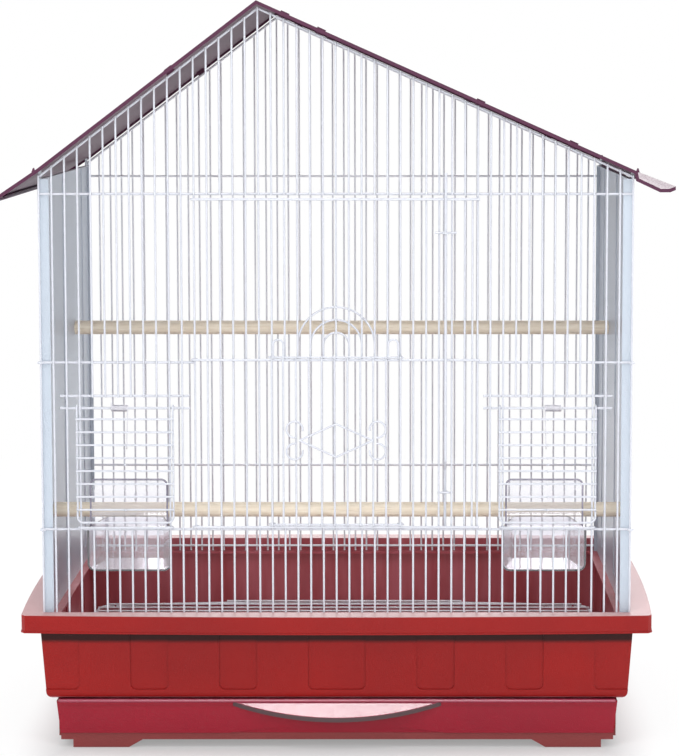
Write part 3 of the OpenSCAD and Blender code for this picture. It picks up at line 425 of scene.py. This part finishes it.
drawer_gloss = make_drawer_gloss()
wire_enamel = coated(
    "wire_enamel_white", (0.62, 0.635, 0.69), (0.57, 0.59, 0.65), 0.5, 30.0,
    roughness=0.28, wander=0.08, ripple=60.0, depth=0.0001, coat=0.2)
# Painted light: a lighter copy of the wire enamel for the rear wires, bars, gable wire, floor grille and
# rear welds
rear_enamel_painted_light = coated(
    "wire_enamel_painted_light", (0.8, 0.81, 0.85), (0.75, 0.76, 0.81), 0.5, 30.0,
    roughness=0.26, wander=0.08, ripple=60.0, depth=0.0001, coat=0.2)
panel_enamel = coated(
    "panel_enamel_pale", (0.52, 0.58, 0.655), (0.475, 0.53, 0.6), 0.6, 5.0,
    roughness=0.36, wander=0.06, ripple=7.0, depth=0.0012, coat=0.2)
roof_enamel = coated(
    "roof_enamel_burgundy", (0.1, 0.033, 0.066), (0.078, 0.03, 0.056), 0.7, 7.0,
    roughness=0.4, wander=0.08, ripple=9.0, depth=0.001, specular=0.1)
bare_steel = coated(
    "spring_steel", (0.84, 0.83, 0.87), (0.68, 0.67, 0.72), 0.5, 60.0,
    roughness=0.42, wander=0.1, ripple=80.0, depth=0.0001, metallic=1.0)

PLASTIC_IOR = 1.49


def make_clear_plastic():
    """Clear moulded plastic with faint haze and ripples."""
    material, tree, shader = new_material("cup_plastic_clear")
    skin = place_group(tree, SKIN, Roughness=0.02, Wander=0.02, Grain=200.0, Ripple=18.0)
    tree.links.new(skin.outputs["Roughness"], shader.inputs["Roughness"])
    tree.links.new(bump(tree, skin.outputs["Height"], 0.0002, 0.3), shader.inputs["Normal"])
    shader.inputs["Base Color"].default_value = (0.97, 0.96, 1.0, 1)
    shader.inputs["Transmission Weight"].default_value = 0.92
    shader.inputs["IOR"].default_value = PLASTIC_IOR
    return material


def make_perch_wood():
    """Turned pale dowel: a noise drawn out along X for the grain, and a finer one for dark flecks."""
    material, tree, shader = new_material("perch_wood_pale")
    long_grain = place_vector(tree, (6, 160, 160))
    streak = noise(tree, long_grain, 3.0, 6.0, 0.65)
    fleck = spread(tree, noise(tree, place_vector(tree, (30, 900, 900)), 2.0, 2.0), 0.62, 0.72)
    base = mixed(tree, spread(tree, streak, 0.3, 0.7), (0.92, 0.83, 0.68), (0.8, 0.68, 0.52))
    shade = mixed(tree, maths(tree, "MULTIPLY", fleck, 0.5), base, (0.42, 0.3, 0.19))
    tree.links.new(shade, shader.inputs["Base Color"])
    tree.links.new(spread(tree, streak, 0.2, 0.8, 0.5, 0.68), shader.inputs["Roughness"])
    tree.links.new(bump(tree, streak, 0.0008), shader.inputs["Normal"])
    return material


def make_edge_plastic():
    """The same clear plastic seen through its full width along an edge, where it looks smoky."""
    material, tree, shader = new_material("cup_plastic_edge")
    cloud = spread(tree, noise(tree, place_vector(tree, (60, 60, 60)), 1.0), 0.3, 0.7)
    smoke = mixed(tree, cloud, (0.46, 0.43, 0.52), (0.3, 0.28, 0.36))
    tree.links.new(smoke, shader.inputs["Base Color"])
    shader.inputs["Roughness"].default_value = 0.12
    shader.inputs["Transmission Weight"].default_value = 0.3
    shader.inputs["IOR"].default_value = PLASTIC_IOR
    return material


clear_plastic = make_clear_plastic()
edge_plastic = make_edge_plastic()
perch_wood = make_perch_wood()

OWN_FINISH = {
    "drawer_pull": drawer_gloss, "rear_wires": rear_enamel_painted_light, "rear_bars": rear_enamel_painted_light,
    "rear_gable_wire": rear_enamel_painted_light, "floor_grille": rear_enamel_painted_light,
}
FINISH = {
    "tub_plastic": tub_plastic, "drawer_plastic": drawer_plastic, "wire_enamel": wire_enamel,
    "panel_enamel": panel_enamel, "roof_enamel": roof_enamel, "clear_plastic": clear_plastic,
    "pale_wood": perch_wood, "bare_steel": bare_steel,
}


def dress_frame():
    """Gives each CAD node the finish of its own material slot, or its own finish: the pull is worn bright
    by hands, and the wires at the back and over the drawer get a lighter copy of the wire enamel, painted
    light that stands in for the light the cage keeps from them."""
    for entry in frame["record"]["subparts"]:
        piece = nodes[entry["node"]]
        for place in piece.material_slots:
            place.material = OWN_FINISH.get(entry["node"], FINISH[entry["material_slot"]])


dress_frame()


# ------------------------------------------------------------------ surfaces

def add_piece(name, verts, faces, slot, body, finish=None):
    """Makes a smooth mesh piece from arrays, in the cage's frame, riding on its body in its slot's finish
    or in another one."""
    mesh = bpy.data.meshes.new(name)
    mesh.from_pydata(verts.tolist(), [], faces.tolist())
    mesh.polygons.foreach_set("use_smooth", np.ones(len(mesh.polygons), bool))
    mesh.materials.append(finish or FINISH[slot])
    mesh.update()
    piece = bpy.data.objects.new(name, mesh)
    scene.collection.objects.link(piece)
    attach(piece, body)
    return piece


def full_circle(steps):
    """Angles of evenly spaced points round a circle, the last one short of the first."""
    return np.linspace(0, 2 * math.pi, steps, endpoint=False)


def grid_faces(rows, columns):
    """Quads of a grid whose columns close on themselves."""
    r, c = np.meshgrid(np.arange(rows - 1), np.arange(columns), indexing="ij")
    n = (c + 1) % columns
    corners = [r * columns + c, r * columns + n, (r + 1) * columns + n, (r + 1) * columns + c]
    return np.stack(corners, -1).reshape(-1, 4)


def closed_grid(rings):
    """Skin of a stack of closed rings in triangles, with a fan over each end ring to its middle point."""
    rows, columns, _ = rings.shape
    ends = np.stack([rings[0].mean(0), rings[-1].mean(0)])
    verts = np.concatenate([rings.reshape(-1, 3), ends])
    c = np.arange(columns)
    n = (c + 1) % columns
    last = (rows - 1) * columns
    first_fan = np.stack([np.full(columns, rows * columns), n, c], -1)
    last_fan = np.stack([np.full(columns, rows * columns + 1), last + c, last + n], -1)
    quads = grid_faces(rows, columns)
    tris = np.concatenate([quads[:, [0, 1, 2]], quads[:, [0, 2, 3]]])
    return verts, np.concatenate([tris, first_fan, last_fan])


def tube_along(path, radius, sides=8, square_to=(1.0, 0.0, 0.0)):
    """Round tube: at each point of the path a ring of the radius, square to the path's direction there.
    Each ring starts square to a direction along which the path never runs."""
    ahead = np.gradient(path, axis=0)
    ahead /= np.linalg.norm(ahead, axis=1, keepdims=True)
    across = np.cross(ahead, square_to)
    across /= np.linalg.norm(across, axis=1, keepdims=True)
    upward = np.cross(ahead, across)
    turn = full_circle(sides)
    rings = (path[:, None, :] + radius * np.cos(turn)[None, :, None] * across[:, None, :]
             + radius * np.sin(turn)[None, :, None] * upward[:, None, :])
    return closed_grid(rings)


def pebble(half):
    """Small closed lump: the 26 outer points of a 3 x 3 x 3 lattice, pushed onto a sphere and multiplied
    by the half sizes."""
    steps = np.arange(3)
    lattice = np.stack(np.meshgrid(steps, steps, steps, indexing="ij"), -1).reshape(-1, 3)
    outer = lattice[(lattice != 1).any(1)]
    order = np.full((3, 3, 3), -1)
    order[tuple(outer.T)] = np.arange(len(outer))
    faces = []
    for axis in range(3):
        for side in (0, 2):
            sheet = np.moveaxis(order, (axis, (axis + 1) % 3, (axis + 2) % 3), (0, 1, 2))[side]
            quads = np.stack([sheet[:-1, :-1], sheet[1:, :-1], sheet[1:, 1:], sheet[:-1, 1:]], -1)
            quads = quads.reshape(-1, 4)
            faces.append(quads if side == 2 else quads[:, ::-1])
    ball = outer - 1.0
    ball /= np.linalg.norm(ball, axis=1, keepdims=True)
    return ball * np.asarray(half, float), np.concatenate(faces)


def repeat_shape(verts, faces, centres):
    """The same small shape at every centre, as one pair of arrays."""
    centres = np.asarray(centres, float)
    all_verts = (centres[:, None, :] + verts[None, :, :]).reshape(-1, 3)
    offsets = (np.arange(len(centres)) * len(verts))[:, None, None]
    return all_verts, (faces[None, :, :] + offsets).reshape(-1, faces.shape[1])


def points_of(mesh):
    """All the points of a mesh, one row each."""
    where = np.empty(len(mesh.vertices) * 3)
    mesh.vertices.foreach_get("co", where)
    return where.reshape(-1, 3)


def solids_of(node):
    """Lowest and highest corners of each solid of a CAD node: points that agree to six decimals are merged,
    and the smallest label spreads over the triangles until nothing changes."""
    mesh = nodes[node].data
    points, same = np.unique(np.round(points_of(mesh), 6), axis=0, return_inverse=True)
    corners = np.empty(len(mesh.loops), int)
    mesh.loops.foreach_get("vertex_index", corners)
    tris = same.ravel()[corners].reshape(-1, 3)
    label = np.arange(len(points))
    changed = True
    while changed:
        spread_label = label.copy()
        np.minimum.at(spread_label, tris.ravel(), np.repeat(label[tris].min(1), 3))
        spread_label = spread_label[spread_label]
        changed = bool((spread_label != label).any())
        label = spread_label
    names = np.unique(label)
    low = np.array([points[label == n].min(0) for n in names])
    high = np.array([points[label == n].max(0) for n in names])
    return low, high


# ------------------------------------------------------------------ weld beads

# A bead, how far it lies inside the end of a wire, and how far a wire may stop short of a bar's middle
WELD = pebble((0.0014, 0.0009, 0.0014))
WELD_INSET = 0.0012
CROSSING_SLACK = 0.0015
# The axis that a wire runs along, and the least lengths that tell wires from their loops and lugs
ACROSS, UPRIGHT = 0, 2
ANY_WIRE = 0.01
LONG_WIRE = 0.05
# Wires further from an arch's middle than this share of its radius run beside it
ARCH_SHARE = 0.95


def long_ones(node, axis, least):
    """The solids of a node that are longer than least along an axis."""
    low, high = solids_of(node)
    keep = (high - low)[:, axis] > least
    return low[keep], high[keep]


def crossings(wires, bars, side):
    """Points where upright wires cross level bars, on the wires' rear (side 1) or front (side -1)."""
    wire_low, wire_high = wires
    bar_low, bar_high = bars
    x = (wire_low[:, 0] + wire_high[:, 0]) / 2
    z = (bar_low[:, 2] + bar_high[:, 2]) / 2
    over_bar = (bar_low[None, :, 0] < x[:, None]) & (x[:, None] < bar_high[None, :, 0])
    above_foot = wire_low[:, None, 2] < z[None, :] + CROSSING_SLACK
    below_top = z[None, :] - CROSSING_SLACK < wire_high[:, None, 2]
    w, b = np.nonzero(over_bar & above_foot & below_top)
    y = wire_high[w, 1] if side > 0 else wire_low[w, 1]
    return np.stack([x[w], y, z[b]], -1)


def wire_ends(wires, side, foot=True):
    """Points just inside the ends of upright wires that are welded to a frame: their tops, and their
    feet too unless foot is False."""
    low, high = wires
    x = (low[:, 0] + high[:, 0]) / 2
    y = high[:, 1] if side > 0 else low[:, 1]
    tops = np.stack([x, y, high[:, 2] - WELD_INSET], -1)
    feet = np.stack([x, y, low[:, 2] + WELD_INSET], -1)
    return np.concatenate([tops, feet]) if foot else tops


def on_arches(wires, side):
    """Points where upright wires pass the round arches of the doorway: at a wire's distance from the
    arch's middle, the arch stands at the square root of radius squared less distance squared."""
    found = []
    wire_low, wire_high = wires
    x = (wire_low[:, 0] + wire_high[:, 0]) / 2
    for low, high in zip(*solids_of("door_arches")):
        thick = high[1] - low[1]
        middle = (low[0] + high[0]) / 2
        radius = (high[0] - low[0] - thick) / 2
        spring_z = high[2] - thick / 2 - radius
        inside = np.abs(x - middle) < radius * ARCH_SHARE
        z = spring_z + np.sqrt(radius ** 2 - (x[inside] - middle) ** 2)
        y = wire_low[inside, 1] if side < 0 else wire_high[inside, 1]
        found.append(np.stack([x[inside], y, z], -1))
    return np.concatenate(found)


def add_welds(name, body, *groups, finish=None):
    """One piece with a weld bead at every point of the groups."""
    verts, faces = repeat_shape(*WELD, np.concatenate(groups))
    add_piece(name, verts, faces, "wire_enamel", body, finish)


def feeder_welds(side_name):
    """Beads where the upright and level wires of a feeder door cross."""
    node = side_name + "_feeder_door"
    uprights = long_ones(node, UPRIGHT, LONG_WIRE)
    add_welds(side_name + "_feeder_welds", side_name + "_feeder_flap",
              crossings(uprights, long_ones(node, ACROSS, LONG_WIRE), -1))


def make_welds():
    """All the weld beads, one piece for each group of wires. The front wires that pass every bar are
    welded to the gable wire too."""
    front_low, front_high = long_ones("front_wires", UPRIGHT, ANY_WIRE)
    rear = long_ones("rear_wires", UPRIGHT, ANY_WIRE)
    door = long_ones("service_door_wires", UPRIGHT, ANY_WIRE)
    slide = long_ones("sliding_door_wires", UPRIGHT, LONG_WIRE)
    tall = front_high[:, 2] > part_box("front_bars")[1][2]
    add_welds("front_welds", "cage",
              crossings((front_low, front_high), long_ones("front_bars", ACROSS, LONG_WIRE), 1),
              wire_ends((front_low[tall], front_high[tall]), 1, foot=False))
    add_welds("rear_welds", "cage",
              crossings(rear, long_ones("rear_bars", ACROSS, LONG_WIRE), -1),
              wire_ends(rear, -1, foot=False), finish=rear_enamel_painted_light)
    add_welds("service_door_welds", "service_door", wire_ends(door, -1), on_arches(door, -1))
    add_welds("sliding_door_welds", "sliding_door", wire_ends(slide, -1))
    feeder_welds("left")
    feeder_welds("right")


make_welds()


# ------------------------------------------------------------------ door springs

SPRING_WIRE = 0.00048
SPRING_TURNS = 14
STEPS_PER_TURN = 20
SPRING_LEG = 0.006
LEG_GAP = 0.0004
ARM_START = 0.0004


def coil_spring(side_name):
    """Torsion spring of round wire, SPRING_WIRE in radius: an upright leg that ends LEG_GAP above the coil's
    first point, a helix about the hinge bar, which is a circle in Y and Z while X grows evenly, and a
    straight arm from ARM_START of its length to its foot, which presses on the feeder door."""
    node = side_name + "_door_spring"
    low, high = solids_of(node)
    coil = int(np.argmin(high[:, 2] - low[:, 2]))
    arm = 1 - coil
    inward = 1.0 if high[arm, 0] > high[coil, 0] else -1.0
    start_x = low[coil, 0] if inward > 0 else high[coil, 0]
    length = high[coil, 0] - low[coil, 0]
    middle = (low[coil] + high[coil]) / 2
    radius = (high[coil, 2] - low[coil, 2]) / 2 - SPRING_WIRE
    angle = math.pi + np.linspace(0, 2 * math.pi * SPRING_TURNS, SPRING_TURNS * STEPS_PER_TURN + 1)
    share = np.linspace(0, 1, len(angle))
    along = start_x + inward * (SPRING_WIRE + (length - 2 * SPRING_WIRE) * share)
    helix = np.stack([along, middle[1] + radius * np.cos(angle), middle[2] + radius * np.sin(angle)], -1)
    climb = np.linspace(SPRING_LEG, LEG_GAP, 6)
    leg = helix[0] + np.stack([0 * climb, 0 * climb, climb], -1)
    fall = np.linspace(ARM_START, 1.0, 12)[:, None]
    foot_x = (low[arm, 0] + high[arm, 0]) / 2 - inward * (high[arm, 0] - low[arm, 0]) / 4
    foot = np.array([foot_x, helix[-1, 1], low[arm, 2] + SPRING_WIRE])
    straight = helix[-1] + fall * (foot - helix[-1])
    verts, faces = tube_along(np.concatenate([leg, helix, straight]), SPRING_WIRE)
    piece = add_piece(side_name + "_coil_spring", verts, faces, "bare_steel", side_name + "_feeder_flap")
    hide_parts(node)


coil_spring("left")
coil_spring("right")


# ------------------------------------------------------------------ cup guards

GUARD_EDGE_R = 0.00095
GUARD_INSET = 0.0004
GUARD_CORNER = 0.006
GUARD_FALL = 0.047
# How far down from the cup's highest point the guard's crown and its plate are measured
CROWN_DEPTH = 0.0002
PLATE_DEPTH = 0.02


def guard_edge(side_name):
    """Round edge of a cup's guard: up one side, a quarter circle at each top corner, and down the other.
    The second half is the first one's mirror image, passed backwards."""
    where = points_of(nodes[side_name + "_feeder_cup"].data)
    top = where[:, 2].max()
    crown = where[where[:, 2] > top - CROWN_DEPTH]
    plate = where[where[:, 2] > top - PLATE_DEPTH]
    y = (crown[:, 1].min() + crown[:, 1].max()) / 2
    low_x = plate[:, 0].min() + GUARD_INSET
    high_x = plate[:, 0].max() - GUARD_INSET
    z = top - GUARD_INSET
    turn = np.linspace(0, math.pi / 2, 9)
    rise = np.linspace(z - GUARD_FALL, z - GUARD_CORNER, 12)[:-1]
    inward = np.concatenate([0 * rise, GUARD_CORNER * (1 - np.cos(turn))])
    upward = np.concatenate([rise, z - GUARD_CORNER * (1 - np.sin(turn))])
    x = np.concatenate([low_x + inward, high_x - inward[::-1]])
    path = np.stack([x, 0 * x + y, np.concatenate([upward, upward[::-1]])], -1)
    verts, faces = tube_along(path, GUARD_EDGE_R, 10, (0.0, 1.0, 0.0))
    add_piece(side_name + "_guard_edge", verts, faces, "clear_plastic", side_name + "_cup", edge_plastic)


guard_edge("left")
guard_edge("right")


# ------------------------------------------------------------------ drawer edge

BEAD_R = 0.0019
BEAD_INSET = 0.002
BEAD_SET_BACK = 0.0004
BEAD_PROUD = 0.0006


def level_rod(x0, x1, y, z, radius, sides=16):
    """Round rod along X with round ends: over the last radius at each end, the ring shrinks as the square
    root of 1 - t squared, with t from the end of the straight part."""
    bend = np.sin(np.linspace(0.02, math.pi / 2, 7))
    shrink = np.sqrt(1 - (1 - bend) ** 2)
    straight = np.linspace(x0 + radius, x1 - radius, 9)[1:-1]
    x = np.concatenate([x0 + radius * bend, straight, x1 - radius * bend[::-1]])
    r = radius * np.concatenate([shrink, np.ones(len(straight)), shrink[::-1]])
    turn = full_circle(sides)
    rings = np.stack([np.repeat(x[:, None], sides, 1), y + r[:, None] * np.cos(turn)[None, :],
                      z + r[:, None] * np.sin(turn)[None, :]], -1)
    return closed_grid(rings)


def make_drawer_bead():
    """Polished round bead along the drawer's top edge, which closes the gap under the tub."""
    front_low, front_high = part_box("drawer_front")
    verts, faces = level_rod(front_low[0] + BEAD_INSET, front_high[0] - BEAD_INSET,
                             front_low[1] + BEAD_SET_BACK, front_high[2] + BEAD_PROUD, BEAD_R)
    add_piece("drawer_edge_bead", verts, faces, "drawer_plastic", "drawer", drawer_gloss)


make_drawer_bead()


# ------------------------------------------------------------------ perch screws

HEAD_THICK = 0.0022
RECESS_DEEP = 0.0011
# Shares of the head's radius: the shank, a slot's half width, and how far the recess reaches out
SHANK_SHARE = 0.42
SLOT_SHARE = 0.13
RECESS_SHARE = 0.62


def screw_rings(low, high, outward):
    """Rings of a pan-head screw along X: two of the shank's tip, one where it meets the head, two of the
    head's side, and sixteen of its dome, which falls with the radius squared. A cross recess is sunk where
    the smaller of the distances from the axis in Y and Z is within a slot's half width, and the radius is
    within the recess. On the other side the rings run backwards, so the faces still point outwards."""
    head_r = (high[2] - low[2]) / 2
    middle = (low + high) / 2
    turn = full_circle(72)
    shank_r = head_r * SHANK_SHARE
    head_out = high[0] if outward > 0 else low[0]
    inner_end = low[0] if outward > 0 else high[0]
    dome = np.linspace(1.0, 0.04, 16)
    reach = np.concatenate([[0.2 * shank_r, shank_r, shank_r, head_r * 0.98, head_r], head_r * dome])
    depth = np.concatenate([[0.0, 0.0, HEAD_THICK, HEAD_THICK, HEAD_THICK * 0.8],
                            HEAD_THICK * 0.45 * dome ** 2])
    along = head_out - outward * depth
    along[:2] = inner_end
    u = reach[:, None] * np.cos(turn)[None, :]
    v = reach[:, None] * np.sin(turn)[None, :]
    slot_w = SLOT_SHARE * head_r
    near = np.minimum(np.abs(u), np.abs(v))
    in_slot = np.clip((1.7 * slot_w - near) / (0.7 * slot_w), 0, 1)
    in_reach = np.clip((RECESS_SHARE * head_r - np.hypot(u, v)) / (0.08 * head_r), 0, 1)
    recess = in_slot * in_reach
    recess[:5] = 0
    x = along[:, None] - outward * RECESS_DEEP * recess
    rings = np.stack([x, middle[1] + u, middle[2] + v], -1)
    return rings if outward > 0 else rings[:, ::-1]


def make_screws():
    """The four perch screws, each closed at its tip and at the middle of its recess."""
    all_verts, all_faces, count = [], [], 0
    for low, high in zip(*solids_of("perch_screws")):
        verts, faces = closed_grid(screw_rings(low, high, 1.0 if high[0] > 0 else -1.0))
        all_verts.append(verts)
        all_faces.append(faces + count)
        count += len(verts)
    piece = add_piece("perch_screw_heads", np.concatenate(all_verts), np.concatenate(all_faces),
                      "bare_steel", "cage")
    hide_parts("perch_screws")


make_screws()


# ------------------------------------------------------------------ floor

# Half the floor's side, how far it lies below the feet, and how far its painted shadow starts beyond the
# plinth in Y
FLOOR_HALF = 30.0
FLOOR_DROP = 0.0005
FRONT_SHADOW = 0.02
PAINTED_SHADOW = (0.6, 0.6, 0.6)
PAPER = (0.92, 0.92, 0.92)


def make_floor():
    """A pale floor that is plain white a little way out, and keeps the cage's soft shadow near it, deepened
    by a
    painted shadow: near the plinth its colour darkens towards grey. The share of plain white grows with the
    distance from the plinth's outline."""
    material, tree, shader = new_material("floor_paper")
    shader.inputs["Roughness"].default_value = 0.9
    shader.inputs["Specular IOR Level"].default_value = 0.05
    glow = tree.nodes.new("ShaderNodeEmission")
    glow.inputs["Color"].default_value = (*WHITE, 1)
    mix = tree.nodes.new("ShaderNodeMixShader")
    place = place_parts(tree)
    foot_x = float(base_high[0])
    foot_y = float(base_high[1]) + FRONT_SHADOW
    out_x = maths(tree, "SUBTRACT", maths(tree, "ABSOLUTE", place["X"]), foot_x)
    out_y = maths(tree, "SUBTRACT", maths(tree, "ABSOLUTE", place["Y"]), foot_y)
    away = maths(tree, "MAXIMUM", out_x, out_y)
    near = maths(tree, "MAXIMUM", spread(tree, out_y, 0.0, 0.11, 0.3, 0.9),
                 spread(tree, out_x, -0.01, 0.05, 0.3, 0.9))
    # Painted shadow: the floor's colour is mixed towards grey near the plinth
    shade = maths(tree, "MAXIMUM", spread(tree, out_y, -0.01, 0.085), spread(tree, out_x, -0.01, 0.04))
    tree.links.new(mixed(tree, shade, PAINTED_SHADOW, PAPER), shader.inputs["Base Color"])
    white = maths(tree, "ADD", near, spread(tree, away, 0.12, 1.2, 0.0, 0.1))
    tree.links.new(maths(tree, "MULTIPLY", seen_directly(tree, 0.4), white), mix.inputs[0])
    tree.links.new(shader.outputs[0], mix.inputs[1])
    tree.links.new(glow.outputs[0], mix.inputs[2])
    tree.links.new(mix.outputs[0], tree.nodes["Material Output"].inputs["Surface"])
    corners = [(-1, -1), (1, -1), (1, 1), (-1, 1)]
    mesh = bpy.data.meshes.new("floor")
    mesh.from_pydata([(x * FLOOR_HALF, y * FLOOR_HALF, 0.0) for x, y in corners], [], [[0, 1, 2, 3]])
    mesh.materials.append(material)
    floor = bpy.data.objects.new("floor", mesh)
    floor.location = (0, 0, -FLOOR_DROP)
    scene.collection.objects.link(floor)


make_floor()
